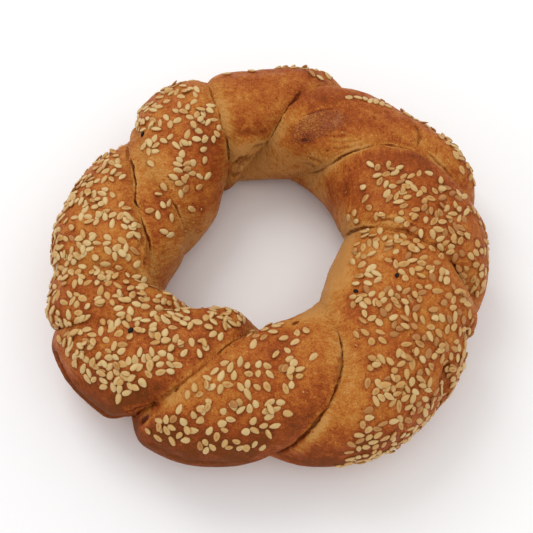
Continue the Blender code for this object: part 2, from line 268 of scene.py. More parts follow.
# How thickly the seeds lie: first and last place across, first and last section angle, cover
SEED_BEDS = {
    0: ((0.2, 0.75, -14, 10, 0.9), (0.16, 0.86, 10, 60, 0.93), (0.15, 0.96, 60, 98, 0.8),
        (0.2, 0.97, 98, 130, 0.85), (0.5, 0.95, 130, 142, 0.6)),
    1: ((0.0, 0.72, 8, 60, 0.66), (0.0, 0.65, 60, 98, 0.76), (0.2, 0.72, 96, 121, 0.68),
        (0.08, 0.24, 117, 134, 0.9), (0.03, 0.2, 92, 117, 0.3)),
    2: ((0.1, 0.75, 10, 36, 0.7),),
    3: ((0.1, 0.6, 20, 46, 0.7),),
    4: ((0.03, 0.3, 90, 126, 0.95), (0.5, 0.84, 106, 136, 0.95), (0.28, 0.52, 92, 116, 0.55),
        (0.45, 0.8, 90, 106, 0.45), (0.1, 0.95, 48, 90, 0.6), (0.05, 0.97, 12, 50, 0.95)),
    5: ((0.0, 0.4, 20, 44, 0.6),),
    6: ((0.2, 1.0, 80, 118, 0.62), (0.05, 1.0, 10, 78, 0.9), (0.6, 1.0, 118, 138, 0.6)),
    7: ((0.0, 1.0, 8, 156, 0.8),),
    8: ((0.0, 0.86, 100, 156, 0.85), (0.0, 0.84, 60, 102, 1.0), (0.05, 0.8, 32, 62, 1.0)),
    9: ((0.06, 0.68, 50, 92, 0.74), (0.1, 0.74, 20, 52, 0.8), (0.04, 0.42, 112, 140, 0.5)),
}

# Patches within the beds that stay bare
BARE_SPOTS = {
    0: ((0.33, 86, 0.1, 14, 0.45),),
    1: ((0.97, 60, 0.13, 45, 1.0),),
    7: ((0.55, 50, 0.14, 3.5, 1.0),),
}

# Tiny pale crumbs: lobe, across, section angle
CRUMBS = ((4, 0.81, 151), (4, 0.89, 163), (5, 0.05, 164), (4, 0.83, 179), (4, 0.95, 140),
          (4, 0.7, 158), (9, 0.78, 70), (2, 0.3, 110), (0, 0.1, 95), (1, 0.55, 150))

# Seeds that lie alone, by lobe: across, section angle
LONE_SEEDS = {
    0: ((0.12, 102), (0.17, 73), (0.24, 108), (0.96, 137), (0.56, 139)),
    1: ((0.1, 147), (0.21, 147), (0.19, 156), (0.35, 136), (0.5, 135), (0.09, 108), (0.74, 119),
        (0.8, 117)),
    2: ((0.71, 72), (0.7, 65), (0.68, 61), (0.66, 58), (0.64, 56), (0.62, 53), (0.6, 50),
        (0.55, 40), (0.52, 36), (0.41, 38), (0.39, 41), (0.3, 40), (0.26, 38), (0.18, 37),
        (0.17, 41)),
    3: ((0.46, 47), (0.43, 50), (0.4, 48), (0.36, 51), (0.33, 49), (0.3, 52), (0.15, 57),
        (0.1, 54), (0.63, 58), (0.83, 60)),
    4: ((0.4, 144), (0.34, 134), (0.3, 127), (0.97, 118), (0.83, 151), (0.6, 139), (0.5, 137),
        (0.16, 76), (0.2, 83)),
    5: ((0.26, 140), (0.58, 140), (0.68, 139), (0.5, 147), (0.08, 131), (0.25, 127), (0.36, 130),
        (0.5, 128), (0.62, 130), (0.63, 120), (0.15, 118), (0.04, 128)),
    6: ((0.15, 116), (0.6, 120), (0.75, 126), (0.63, 106), (0.78, 108), (0.44, 104)),
    9: ((0.47, 101), (0.42, 100), (0.55, 106), (0.59, 98), (0.63, 94), (0.49, 118), (0.6, 114),
        (0.61, 124), (0.7, 126), (0.76, 123), (0.77, 99), (0.64, 83), (0.67, 83), (0.3, 117),
        (0.24, 110), (0.36, 125), (0.51, 122)),
}

# Black seeds: lobe, across, section angle, turn in degrees, length
BLACK_SEEDS = ((0, 0.31, 125.0, 150.0, 1.7), (0, 0.63, 100.0, 75.0, 1.6),
               (4, 0.92, 59.0, 60.0, 1.8), (8, 0.21, 88.0, 60.0, 1.9))
BLACK_SEED_ROOM = 1.6       # no sesame seed's middle lies closer to a black seed than this
THROW_RATE = 0.32           # seeds thrown to a square millimetre where they cover two thirds
SIZE_SPREAD = (0.34, 0.22, 0.08)        # how much the seeds' length, width and thickness vary
USUAL_TOAST = 0.22          # how brown the seeds are, from 0 to 1, and how much that varies
TOAST_SPREAD = 0.23
TOUCHING_RANGE = 4.0        # seeds with their middles further apart than this cannot touch
# the painted shade round the seeds reaches as far as the glaze
GLAZE_AND_SHADE_WIDTH = 1.8           # how far from a seed the glaze browns the crust
USUAL_BROWNING = 0.47

# before and after: distance to the crease on either side
Surface = namedtuple("Surface", "points across section before after")


def smooth_step(value):
    """Rise from 0 to 1 with level ends."""
    clipped = np.clip(value, 0.0, 1.0)
    return clipped * clipped * (3.0 - 2.0 * clipped)


def between(value, low, high, edge, start=0.0):
    """1 between two limits and 0 past them, with a soft edge at each limit."""
    return smooth_step((value - low) / edge + start) * smooth_step((high - value) / edge + start)


def smooth_curve(at, knots, values):
    """Read a smooth curve through the given points."""
    steps = np.diff(knots)
    rises = np.diff(values) / steps
    slopes = np.gradient(values, knots)
    slopes[1:-1] = (rises[:-1] * steps[1:] + rises[1:] * steps[:-1]) / (steps[1:] + steps[:-1])
    left = np.clip(np.searchsorted(knots, at) - 1, 0, len(knots) - 2)
    width = steps[left]
    t = (at - knots[left]) / width
    return ((2 * t**3 - 3 * t**2 + 1) * values[left]
            + (t**3 - 2 * t**2 + t) * width * slopes[left]
            + (3 * t**2 - 2 * t**3) * values[left + 1]
            + (t**3 - t**2) * width * slopes[left + 1])


def around_ring(ring_angle, spots, values):
    """Read values given at a few ring angles as a smooth curve that closes after a full turn."""
    spots = np.mod(spots, 360.0)
    order = np.argsort(spots)
    spots = spots[order]
    values = np.asarray(values, dtype=float)[order]
    spots = np.concatenate([spots[-3:] - 360.0, spots, spots[:3] + 360.0])
    values = np.concatenate([values[-3:], values, values[:3]])
    return smooth_curve(np.mod(ring_angle, 360.0), spots, values)


def crease_angles(section_angle):
    """Ring angle of each crease at the given section angles, one row for each crease."""
    lines = np.zeros((len(CREASES), len(section_angle)))
    for seam in (0, 1):
        creases = CREASES[seam::2]
        turns = len(creases)
        knots = np.array([station + 360.0 * turn for turn in range(turns) for station in STATIONS])
        angles = np.array([angle for crease in creases for angle in crease.angles], dtype=float)
        knots = np.concatenate([knots - 360.0 * turns, knots, knots + 360.0 * turns])
        angles = np.concatenate([angles - 360.0, angles, angles + 360.0])
        for turn in range(turns):
            lines[seam + 2 * turn] = smooth_curve(section_angle + 360.0 * turn, knots, angles)
    return lines


def one_on(lines, turn=0.0):
    """The same values for the next crease, a turn of the ring further on at the end."""
    return np.concatenate([lines[1:], lines[:1] + turn])


def around_section(section_angle, here, following):
    """Blend a crease's values outside, on top and inside, and then into the next one's."""
    outer, top, inner = here
    up = outer + (top - outer) * smooth_step((section_angle - 20.0) / 60.0)
    over = top + (inner - top) * smooth_step((section_angle - 100.0) / 60.0)
    under = inner + (following[0] - inner) * smooth_step((section_angle - 190.0) / 150.0)
    return np.where(section_angle <= 90.0, up, np.where(section_angle <= 180.0, over, under))


def dough_surface(columns_per_lobe, rows):
    """The crust's smooth form as a grid of points: 10 lobes x columns x (rows + 1).

    The first and last row lie underneath, at section angles -90 and 270. A lobe's part below its
    outer side belongs to the same rope as the underside of the lobe two before it.
    """
    turn = np.arange(rows + 1) / rows
    section = 360.0 * turn - 90.0 + ROW_CROWDING * np.sin(2.0 * np.pi * turn)
    angle = np.where(section < 0.0, section + 360.0, section)
    turned = np.radians(angle)
    lines = crease_angles(angle)
    next_lines = one_on(lines, 360.0)
    even = np.arange(columns_per_lobe) / columns_per_lobe
    across = even - COLUMN_CROWDING * np.sin(2.0 * np.pi * even)
    ring_angle = lines[:, None, :] + (next_lines - lines)[:, None, :] * across[None, :, None]

    stations = crease_angles(np.array(STATIONS))
    spans = one_on(stations, 360.0) - stations
    outer_spots = np.concatenate([stations[:, 1] + spans[:, 1] * spot for spot in REACH_SPOTS])
    reach = around_ring(ring_angle, outer_spots, [lobe.reach[i] for i in (0, 1) for lobe in LOBES])
    height, hole = (around_ring(ring_angle, stations[:, number] + spans[:, number] / 2,
                                [getattr(lobe, name) for lobe in LOBES])
                    for number, name in ((2, "height"), (3, "hole")))
    middle = (reach + hole) / 2
    half_width = (reach - hole) / 2
    middle_height = height * MIDDLE_HEIGHT
    above = np.sin(turned) > 0.0
    rise = np.where(above, height - middle_height, middle_height + SUNK_BELOW_TABLE)
    power = np.where(above, ROUND_TOP, BOXY_FOOT)
    round_form = (np.abs(np.cos(turned) / half_width)**power
                  + np.abs(np.sin(turned) / rise)**power)**(-1.0 / power)
    from_axis = middle + round_form * np.cos(turned)

    slant = (crease_angles(angle + 1.0) - crease_angles(angle - 1.0)) / 2.0
    next_slant = one_on(slant)
    pressed = smooth_step((-np.sin(turned) - 0.3) / 0.5)
    taken_over = smooth_step((angle - 200.0) / 130.0)
    own = 1.0 - taken_over
    sunk, before, after = (np.zeros_like(ring_angle) for _ in range(3))
    for index in range(len(CREASES)):
        for distance, turned_by, tilt in (
                (before, ring_angle[index] - lines[index], slant[index]),
                (after, next_lines[index] - ring_angle[index], next_slant[index])):
            along_ring = np.radians(turned_by) * from_axis[index]
            straightness = round_form[index] / np.hypot(round_form[index], from_axis[index] * tilt)
            distance[index] = along_ring * straightness
        half_lobe = (before[index] + after[index]) / 2
        for number, side, distance in ((index, 1, before[index]), (index + 1, 0, after[index])):
            crease, next_of_seam = (CREASES[(number + on) % len(CREASES)] for on in (0, 2))
            rounding = crease.rounding[side] * own + next_of_seam.rounding[side] * taken_over
            rounding = np.where(half_lobe < rounding, (half_lobe + rounding) / 2, rounding)
            fall = (1.0 - np.clip(distance / rounding, 0.0, 1.0))**SWELL_POWER
            slit = crease.cleft * own + next_of_seam.cleft * taken_over
            cleft = slit * np.exp(-(distance / CLEFT_WIDTH)**1.2)
            depth = around_section(angle, crease.depths, next_of_seam.depths)
            sunk[index] += (depth * fall + cleft) * (1.0 - FOOT_FLATNESS * pressed)
    for ring, around, half_length, half_girth, depth in DENTS:
        along = np.radians(np.mod(ring_angle - ring + 180.0, 360.0) - 180.0) * from_axis
        girth = np.radians(np.mod(angle - around + 180.0, 360.0) - 180.0) * round_form
        sunk += depth * np.exp(-(along / half_length)**2 - (girth / half_girth)**2)

    radius = round_form - sunk
    from_axis = middle + radius * np.cos(turned)
    ring = np.radians(ring_angle)
    z = middle_height + radius * np.sin(turned)
    points = np.stack([from_axis * np.cos(ring), from_axis * np.sin(ring), z], axis=-1)
    lower = section < 0.0
    for values in (points, before, after):
        values[:, :, lower] = np.roll(values, 2, axis=0)[:, :, lower]
    points[..., 2] = np.maximum(points[..., 2], 0.0)
    centre = (points.min(axis=(0, 1, 2)) + points.max(axis=(0, 1, 2))) / 2
    wanted = (np.array(RING_BOX[0]) + np.array(RING_BOX[1])) / 2 / MM
    points[..., :2] += wanted[:2] - centre[:2]
    points[..., 2] += RING_BOX[0].z / MM
    across = np.broadcast_to(across[None, :, None], ring_angle.shape)
    section = np.broadcast_to(section[None, None, :], ring_angle.shape)
    return Surface(points, across, section, before, after)


def painted(surface, patches_by_lobe):
    """Add up soft round patches over the surface. A patch also reaches over its lobe's creases."""
    total = np.zeros(surface.across.shape)
    for lobe, patches in patches_by_lobe.items():
        for at_across, at_section, half_across, half_section, amount in patches:
            for step in (-1, 0, 1):
                index = (lobe + step) % len(LOBES)
                across = (surface.across[index] + step - at_across) / half_across
                section = (surface.section[index] - at_section) / half_section
                total[index] += amount * np.exp(-(across**2 + section**2))
    return total


def seed_cover(surface):
    """How thickly seeds lie at each place, from 0 to 1."""
    cover = np.zeros(surface.across.shape)
    for lobe, beds in SEED_BEDS.items():
        for start, end, low, high, thickness in beds:
            inside = (between(surface.across[lobe], start, end, 0.05, 0.5)
                      * between(surface.section[lobe], low, high, 5.0, 0.5))
            cover[lobe] = np.maximum(cover[lobe], inside * thickness)
    return np.clip(cover - painted(surface, BARE_SPOTS), 0.0, 1.0)


def grid_normals(points):
    """Outward normals of the smooth form at every grid point."""
    closed = points.reshape(-1, *points.shape[2:])
    along_ring = np.roll(closed, -1, axis=0) - np.roll(closed, 1, axis=0)
    normals = np.cross(along_ring, np.gradient(closed, axis=1))
    normals /= np.maximum(np.linalg.norm(normals, axis=-1), 1e-9)[..., None]
    return normals.reshape(points.shape)


def read_grid(values, column, row):
    """Read a grid of values between its points. Columns are counted on through all the lobes."""
    flat = values.reshape(-1, *values.shape[2:])
    left = np.floor(column).astype(int)
    low = np.clip(np.floor(row).astype(int), 0, flat.shape[1] - 2)
    u, v = column - left, row - low
    if flat.ndim > 2:
        u, v = u[:, None], v[:, None]
    first, second = left % len(flat), (left + 1) % len(flat)
    return ((flat[first, low] * (1 - u) + flat[second, low] * u) * (1 - v)
            + (flat[first, low + 1] * (1 - u) + flat[second, low + 1] * u) * v)


def grid_place(surface, lobe, across, section):
    """Column and row of places given by lobe, across and section angle."""
    lobe = np.asarray(lobe) + np.floor(across)
    columns = surface.across.shape[1]
    column = np.interp(across - np.floor(across), np.append(surface.across[0, :, 0], 1.0),
                       np.arange(columns + 1))
    row = np.interp(section, surface.section[0, 0], np.arange(surface.section.shape[2]))
    return lobe * columns + column, row


def listed_places(surface, rows):
    """Column and row of the places that the rows of a list begin with."""
    return grid_place(surface, *(np.array(column) for column in list(zip(*rows))[:3]))


def uneven(length, pitch, draw):
    """A smooth random curve between about -1 and 1, sampled at the given distances."""
    total = np.zeros(len(length))
    for step, share in ((1.0, 0.6), (2.3, 0.4)):
        total += share * np.sin(length * 2.0 * np.pi * step / pitch + draw.uniform(0.0, 6.28))
    return total


def groove_course(lobe, course, surface, normals):
    """Close points along a groove in three dimensions, with the surface's normals there."""
    places = np.array(course, dtype=float)
    if len(places) == 1:
        places = np.repeat(places, 2, axis=0)
    knots = np.arange(len(places), dtype=float)
    at = np.linspace(0.0, knots[-1], 24 * len(places))
    across, section = (smooth_curve(at, knots, places[:, number]) for number in (0, 1))
    place = grid_place(surface, lobe, across, section)
    return read_grid(surface.points, *place), read_grid(normals, *place)


def groove_relief(surface, normals, draw):
    """How far the grooves move every grid point outwards, and the marks that colour them: painted
    shade at their bottoms and pale edges.
    """
    points = surface.points
    outward, gap, dark, lip = (np.full(points.shape[:-1], start) for start in (0.0, -9.0, 0.0, 0.0))
    for lobe, places, greatest_width, depth, step, darkness, paleness in GROOVES:
        course, ups = groove_course(lobe, places, surface, normals)
        runs = np.linalg.norm(np.diff(course, axis=0), axis=1)
        length = np.concatenate([[0.0], np.cumsum(runs)])
        side = np.cross(ups, np.gradient(course, axis=0))
        side /= np.maximum(np.linalg.norm(side, axis=1), 1e-9)[:, None]
        strayed = GROOVE_SWAY * greatest_width * uneven(length, GROOVE_SWAY_PITCH, draw)
        course = course + side * strayed[:, None]
        if length[-1] > SHORTEST_TAPERED:
            ends = np.minimum(length, length[-1] - length) / min(LONGEST_TAPER, 0.35 * length[-1])
            width = greatest_width * (0.25 + 0.75 * smooth_step(ends))
            width = width * (1.0 + 0.32 * uneven(length, GROOVE_WIDTH_PITCH, draw))
            fade = smooth_step(ends * 1.4)
        else:
            width = np.full(len(course), greatest_width)
            fade = np.ones(len(course))

        low, high = course.min(axis=0) - GROOVE_REACH, course.max(axis=0) + GROOVE_REACH
        near = np.nonzero(((points > low) & (points < high)).all(axis=-1))
        away = points[near][:, None, :] - course[None, :, :]
        distances = np.linalg.norm(away, axis=-1)
        nearest = distances.argmin(axis=1)
        each = np.arange(len(nearest))
        distance = distances[each, nearest]
        turned = (away[each, nearest] * side[nearest]).sum(axis=-1) / np.maximum(distance, 1e-6)
        half, faded = width[nearest], fade[nearest]

        cut = depth * faded * smooth_step(1.0 - distance / (half * 1.15))
        edge = LIP_HEIGHT * depth * faded * np.exp(-((distance / half - 1.75) / 0.7)**2)
        raised = step * faded * np.exp(-(distance / STEP_WIDTH)**2) * smooth_step(turned + 0.5)
        outward[near] += raised + edge - cut
        deeper = (half - distance) > gap[near]
        gap[near] = np.maximum(gap[near], half - distance)
        dark[near] = np.where(deeper, darkness * faded, dark[near])
        pale = paleness * faded * np.exp(-((distance / half - 1.9) / 1.1)**2)
        lip[near] = np.maximum(lip[near], pale)
    return outward, {"gap": gap, "dark": dark, "lip": lip}


# ---- Small helpers for objects and meshes ----

def make_active(piece):
    bpy.ops.object.select_all(action="DESELECT")
    piece.select_set(True)
    bpy.context.view_layer.objects.active = piece


def face_outwards(piece, merge=None):
    """Point all faces outwards, once doubles within a merging distance are one."""
    make_active(piece)
    bpy.ops.object.mode_set(mode="EDIT")
    bpy.ops.mesh.select_all(action="SELECT")
    if merge:
        bpy.ops.mesh.remove_doubles(threshold=merge)
    bpy.ops.mesh.normals_make_consistent(inside=False)
    bpy.ops.object.mode_set(mode="OBJECT")


def vertex_places(mesh):
    places = np.zeros(len(mesh.vertices) * 3, dtype=np.float32)
    mesh.vertices.foreach_get("co", places)
    return places.reshape(-1, 3)


def set_vertex_places(mesh, places):
    mesh.vertices.foreach_set("co", np.asarray(places, dtype=np.float32).ravel())
    mesh.update()


def store_values(mesh, name, values):
    """Keep one number for each vertex, for the materials to read."""
    attribute = mesh.attributes.get(name) or mesh.attributes.new(name, "FLOAT", "POINT")
    attribute.data.foreach_set("value", np.asarray(values, dtype=np.float32).ravel())


def put_on_ring(piece, material):
    piece.data.materials.append(material)
    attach(piece, "root")


# ---- Materials ----

class NodeSheet:
    """Adds nodes to a material or a node group and links them."""

    def __init__(self, tree):
        self.tree = tree

    def add(self, kind, **settings):
        node = self.tree.nodes.new(kind)
        number = len(self.tree.nodes)
        node.location = (180.0 * number, -40.0 * (number % 5))
        for name, value in settings.items():
            setattr(node, name, value)
        return node

    def feed(self, sockets, *values):
        """Link output sockets to the sockets given, or set plain values."""
        for socket, value in zip(sockets, values):
            if isinstance(value, bpy.types.NodeSocket):
                self.tree.links.new(value, socket)
            elif value is not None:
                socket.default_value = value

    def chain(self, operation, total, *values):
        for value in values:
            node = self.add("ShaderNodeMath", operation=operation)
            self.feed(node.inputs, total, value)
            total = node.outputs[0]
        return total

    plus = partialmethod(chain, "ADD")
    minus = partialmethod(chain, "SUBTRACT")
    times = partialmethod(chain, "MULTIPLY")

    def rescale(self, *given):
        """Bring a value from one range to another, or to 0 to 1, with level ends."""
        node = self.add("ShaderNodeMapRange", interpolation_type="SMOOTHSTEP")
        self.feed(node.inputs, *given)
        return node.outputs[0]

    def mix(self, factor, first, second, blend="MIX"):
        node = self.add("ShaderNodeMix", data_type="RGBA", blend_type=blend)
        self.feed((node.inputs["Factor"], node.inputs[6], node.inputs[7]), factor, first, second)
        return node.outputs[2]

    def noise(self, vector, scale, detail=2.0, roughness=0.5):
        node = self.add("ShaderNodeTexNoise")
        self.feed((node.inputs[name] for name in ("Vector", "Scale", "Detail", "Roughness")),
                  vector, scale, detail, roughness)
        return node.outputs[0]

    def cells(self, vector, scale, feature="F1"):
        node = self.add("ShaderNodeTexVoronoi", feature=feature)
        self.feed((node.inputs["Vector"], node.inputs["Scale"]), vector, scale)
        return node.outputs

    def value_of(self, name):
        return self.add("ShaderNodeAttribute", attribute_name=name).outputs["Fac"]

    def ramp(self, factor, places, colours):
        node = self.add("ShaderNodeValToRGB")
        elements = node.color_ramp.elements
        while len(elements) < len(colours):
            elements.new(0.5)
        for element, place, colour in zip(elements, places, colours):
            element.position = place
            element.color = colour
        self.feed(node.inputs, factor)
        return node.outputs[0]

    def shared(self, make, vector, **values):
        """Place a shared node group with its own values. It is built the first time."""
        group = bpy.data.node_groups.get(make.__name__) or make()
        node = self.add("ShaderNodeGroup", node_tree=group)
        self.feed(node.inputs[:1], vector)
        for name, value in values.items():
            node.inputs[name].default_value = value
        return node.outputs[0]

    def bump(self, surface, height, strength, distance):
        node = self.add("ShaderNodeBump")
        self.feed((node.inputs[name] for name in ("Strength", "Distance", "Height")),
                  strength, distance * MM, height)
        self.feed((surface.inputs["Normal"],), node.outputs[0])


def new_material(name, roughness, specular):
    """A material with its Principled shader, the sheet its nodes go on and Object coordinates."""
    material = bpy.data.materials.new(name)
    material.use_nodes = True
    surface = material.node_tree.nodes["Principled BSDF"]
    surface.inputs["Roughness"].default_value = roughness
    surface.inputs["Specular IOR Level"].default_value = specular
    surface.inputs["Specular Tint"].default_value = (1.0, 0.80, 0.56, 1.0)
    sheet = NodeSheet(material.node_tree)
    return material, surface, sheet, sheet.add("ShaderNodeTexCoord").outputs["Object"]


def new_group(name, result, **numbers):
    """A node group that takes a vector and the numbers named, and puts out one number."""
    group = bpy.data.node_groups.new(name, "ShaderNodeTree")
    group.interface.new_socket("Vector", in_out="INPUT", socket_type="NodeSocketVector")
    for label, usual in numbers.items():
        socket = group.interface.new_socket(label, in_out="INPUT", socket_type="NodeSocketFloat")
        socket.default_value = usual
    group.interface.new_socket(result, in_out="OUTPUT", socket_type="NodeSocketFloat")
    sheet = NodeSheet(group)
    return group, sheet, sheet.add("NodeGroupInput").outputs, sheet.add("NodeGroupOutput").inputs


def uneven_toasting():
    """Uneven toasting round zero: clouds, freckles, fine grain, dark pinholes and pale specks."""
    group, sheet, given, result = new_group("uneven_toasting", "Amount", Size=100.0, Clouds=0.1,
                                            Freckles=0.1, Grain=0.1, Specks=0.0)
    vector, size = given["Vector"], given["Size"]
    parts = []
    for label, factor, detail in (
            ("Clouds", 1.0, 3.0), ("Freckles", 5.0, 3.0), ("Grain", 17.0, 1.0)):
        spread = sheet.noise(vector, sheet.times(size, factor), detail, 0.6)
        parts.append(sheet.times(sheet.minus(spread, 0.5), given[label]))
    for factor, sign in ((6.5, 1.0), (9.0, -0.8)):
        cells = sheet.cells(vector, sheet.times(size, factor))
        dot = sheet.rescale(cells["Distance"], 0.08, 0.30, 1.0, 0.0)
        chosen = sheet.add("ShaderNodeSeparateColor")
        sheet.feed(chosen.inputs, cells["Color"])
        chosen = sheet.rescale(chosen.outputs[0], 0.72, 0.80)
        parts.append(sheet.times(dot, chosen, sign, given["Specks"]))
    sheet.feed(result, sheet.plus(0.0, *parts))
    return group


def fine_grain():
    """Height of fine grain and pores, in the same measure as the bump it feeds."""
    group, sheet, given, result = new_group("fine_grain", "Height", Size=500.0, Lumps=1.0,
                                            Pores=0.5)
    lumps = sheet.noise(given["Vector"], given["Size"], 4.0, 0.6)
    cells = sheet.cells(given["Vector"], sheet.times(given["Size"], 1.4))
    pore = sheet.rescale(cells["Distance"], 0.0, 0.25, -1.0, 0.0)
    sheet.feed(result, sheet.plus(sheet.times(lumps, given["Lumps"]),
                                  sheet.times(pore, given["Pores"])))
    return group


def crust_material(settings):
    """Baked crust, from pale stretched dough to dark brown, with its streaks and cracks, painted
    shade in the cracks and round the seeds, and painted glints on the blister.
    """
    material, surface, sheet, place = new_material("baked_crust", 0.5, settings.sheen)
    plus, minus, times, rescale = sheet.plus, sheet.minus, sheet.times, sheet.rescale
    bake, stretch, blister, lip, dark, gap, glaze_and_seed_shade = (sheet.value_of(name) for name in (
        "bake", "stretch", "blister", "lip", "dark", "gap", "glaze_and_seed_shade"))
    strands = sheet.add("ShaderNodeUVMap", uv_map="strands").outputs[0]
    mottling = sheet.shared(uneven_toasting, place, Size=130.0, Clouds=1.15, Freckles=0.90,
                            Grain=0.9, Specks=0.65)
    streaks = times(minus(sheet.noise(strands, 1.1, 4.0, 0.65), 0.5),
                    rescale(stretch, 0.0, 1.0, 0.35, 1.9))
    ragged = minus(sheet.noise(place, 800.0, 3.0), 0.5)
    net = sheet.cells(place, 900.0, "DISTANCE_TO_EDGE")["Distance"]
    browning = minus(plus(bake, mottling, streaks),
                     times(lip, rescale(ragged, -0.3, 0.1, 0.15, 0.60)))
    # glaze and painted shade round the seeds brown the crust; the blister's raised cells are
    # painted paler, as glints
    browning = minus(plus(browning, times(glaze_and_seed_shade, 0.22)),
                     times(rescale(net, 0.08, 0.36, 0.0, 0.06), blister))
    # painted shade at the bottoms of cracks, folds and pits, browning their sides and mixing in the
    # crease shade colour
    shade = times(rescale(plus(gap, times(ragged, 0.40)), -0.12, 0.38), dark)
    browning = plus(browning, times(shade, 0.45))
    colour = sheet.ramp(times(browning, 0.8), (0.0, 0.2, 0.4, 0.6, 0.8, 1.0), (
        settings.pale_colour, settings.golden_colour, settings.brown_colour, settings.deep_colour,
        settings.dark_colour, settings.foot_colour))
    rough = plus(rescale(sheet.noise(place, 260.0), 0.3, 0.7, 0.46, 0.62),
                 rescale(bake, 0.8, 1.1, 0.0, 0.25))
    sheet.feed((surface.inputs[name] for name in ("Base Color", "Roughness", "Coat Weight")),
               sheet.mix(shade, colour, settings.crease_colour), rough, times(blister, 0.25))
    surface.inputs["Coat Roughness"].default_value = 0.35

    grain = sheet.shared(fine_grain, place, Size=520.0, Lumps=1.3, Pores=0.5)
    wrinkles = times(sheet.noise(strands, 1.4, 4.0, 0.6), rescale(stretch, 0.0, 1.0, 0.5, 3.8))
    net_height = times(rescale(net, 0.0, 0.25, 0.0, 1.8), blister)
    sheet.bump(surface, plus(grain, wrinkles, net_height), 0.7, 0.42)
    return material


def seed_material(settings):
    """Toasted sesame: cream to tan, browner round its rim and underside, partly from toasting and
    partly as painted shade.
    """
    material, surface, sheet, place = new_material("toasted_sesame", 0.42, 0.3)
    mottling = sheet.shared(uneven_toasting, place, Size=400.0, Clouds=0.25, Freckles=0.2,
                            Grain=0.0)
    colour = sheet.ramp(sheet.plus(sheet.value_of("toast"), mottling), (0.0, 0.35, 0.65, 1.0), (
        settings.cream_colour, settings.tan_colour, settings.golden_seed_colour,
        settings.toasted_colour))
    sheet.feed((surface.inputs["Base Color"],), colour)
    grain = sheet.shared(fine_grain, place, Size=1500.0, Lumps=0.6, Pores=0.1)
    sheet.bump(surface, grain, 0.4, 0.08)
    return material


def black_seed_material(settings):
    """Small black seeds, dull with a brown cast."""
    material, surface, sheet, place = new_material("black_seed_skin", 0.55, 0.15)
    mottling = sheet.shared(uneven_toasting, place, Size=600.0, Clouds=0.8, Freckles=0.4, Grain=0.0)
    black = settings.black_colour
    brown = (black[0] * 3.0, black[1] * 2.4, black[2] * 2.0, 1.0)
    sheet.feed((surface.inputs["Base Color"],), sheet.mix(sheet.plus(mottling, 0.15), black, brown))
    return material


def floor_material(settings):
    """Plain pale table top, very slightly uneven."""
    material, surface, sheet, place = new_material("pale_table", 0.8, 0.1)
    cloud = sheet.rescale(sheet.noise(place, 6.0), 0.3, 0.7, 0.985, 1.0)
    sheet.feed((surface.inputs["Base Color"],),
               sheet.mix(1.0, settings.floor_colour, cloud, blend="MULTIPLY"))
    return material


# ---- Settings that a user can change ----

def kind_of_setting(kind, **usual):
    """A function that makes settings of one kind from their name, description and default."""
    def make(name, description, default, **more):
        return kind(name=name, description=description, default=default, **{**usual, **more})
    return make


count_setting = kind_of_setting(IntProperty, min=0)
length_setting = kind_of_setting(FloatProperty, subtype="DISTANCE", unit="LENGTH", precision=5)
angle_setting = kind_of_setting(FloatProperty, subtype="ANGLE", unit="ROTATION")
power_setting = kind_of_setting(FloatProperty, subtype="POWER", min=0.0)
share_setting = kind_of_setting(FloatProperty, subtype="FACTOR", min=0.0, max=1.0)
colour_setting = kind_of_setting(FloatVectorProperty, subtype="COLOR", size=4, min=0.0, max=1.0)


class BreadCrustSettings(bpy.types.PropertyGroup):
    columns_per_lobe: count_setting("Columns", "Mesh columns across a lobe", 68, min=12, max=68)
    rows: count_setting("Rows", "Mesh rows round the dough", 144, min=24, max=144)
    draw_number: count_setting("Draw", "Start of the random draws", 4)
    lump_height: length_setting("Lump height", "Height of the soft lumps in the crust", 0.0010)
    wrinkle_height: length_setting("Wrinkle height", "Height of the fine wrinkles", 0.0006)
    blister_height: length_setting("Blister height", "How far the blister stands up", 0.0005)
    sheen: share_setting("Sheen", "How much light the crust mirrors", 0.13)
    pale_colour: colour_setting("Pale dough", "Least baked dough", (0.53, 0.245, 0.065, 1.0))
    golden_colour: colour_setting("Golden crust", "Lightly baked crust", (0.465, 0.172, 0.029, 1.0))
    brown_colour: colour_setting("Brown crust", "Well baked crust", (0.40, 0.115, 0.019, 1.0))
    deep_colour: colour_setting("Deep brown", "Crust on the crowns", (0.31, 0.0645, 0.0105, 1.0))
    dark_colour: colour_setting("Dark crust", "Darkest crust", (0.225, 0.0445, 0.008, 1.0))
    foot_colour: colour_setting("Foot", "Crust scorched by the tray", (0.150, 0.036, 0.006, 1.0))
    # the colour of the painted shade at the bottom of cracks, folds and pits
    crease_colour: colour_setting("Crease", "Bottom of a crease", (0.122, 0.021, 0.004, 1.0))


class SesameSettings(bpy.types.PropertyGroup):
    seed_length: length_setting("Seed length", "Length of a sesame seed", 0.0030)
    seed_width: length_setting("Seed width", "Width of a sesame seed", 0.0020)
    seed_thickness: length_setting("Seed thickness", "Thickness of a sesame seed", 0.0008)
    clearance: share_setting("Clearance", "Gap kept between seeds, in seed widths", 0.72, max=2.0)
    clumping: share_setting("Clumping", "How much the seeds lie in clumps", 0.75)
    stacking: share_setting("Stacking", "How many seeds lie on top of others", 0.30)
    # the rim's brown is partly toasting and partly painted shade under the seed's edge
    rim_toasting: share_setting("Rim toasting", "How much browner a seed's rim is", 0.85, max=2.0)
    draw_number: count_setting("Draw", "Start of the random draws", 12)
    cream_colour: colour_setting("Cream seed", "Least toasted seed", (0.62, 0.44, 0.20, 1.0))
    tan_colour: colour_setting("Tan seed", "Usual seed", (0.56, 0.36, 0.145, 1.0))
    golden_seed_colour: colour_setting("Golden seed", "Well toasted seed", (0.53, 0.29, 0.09, 1.0))
    toasted_colour: colour_setting("Toasted seed", "Most toasted seed", (0.38, 0.155, 0.045, 1.0))
    black_colour: colour_setting("Black seed", "Skin of black seeds", (0.009, 0.006, 0.006, 1.0))


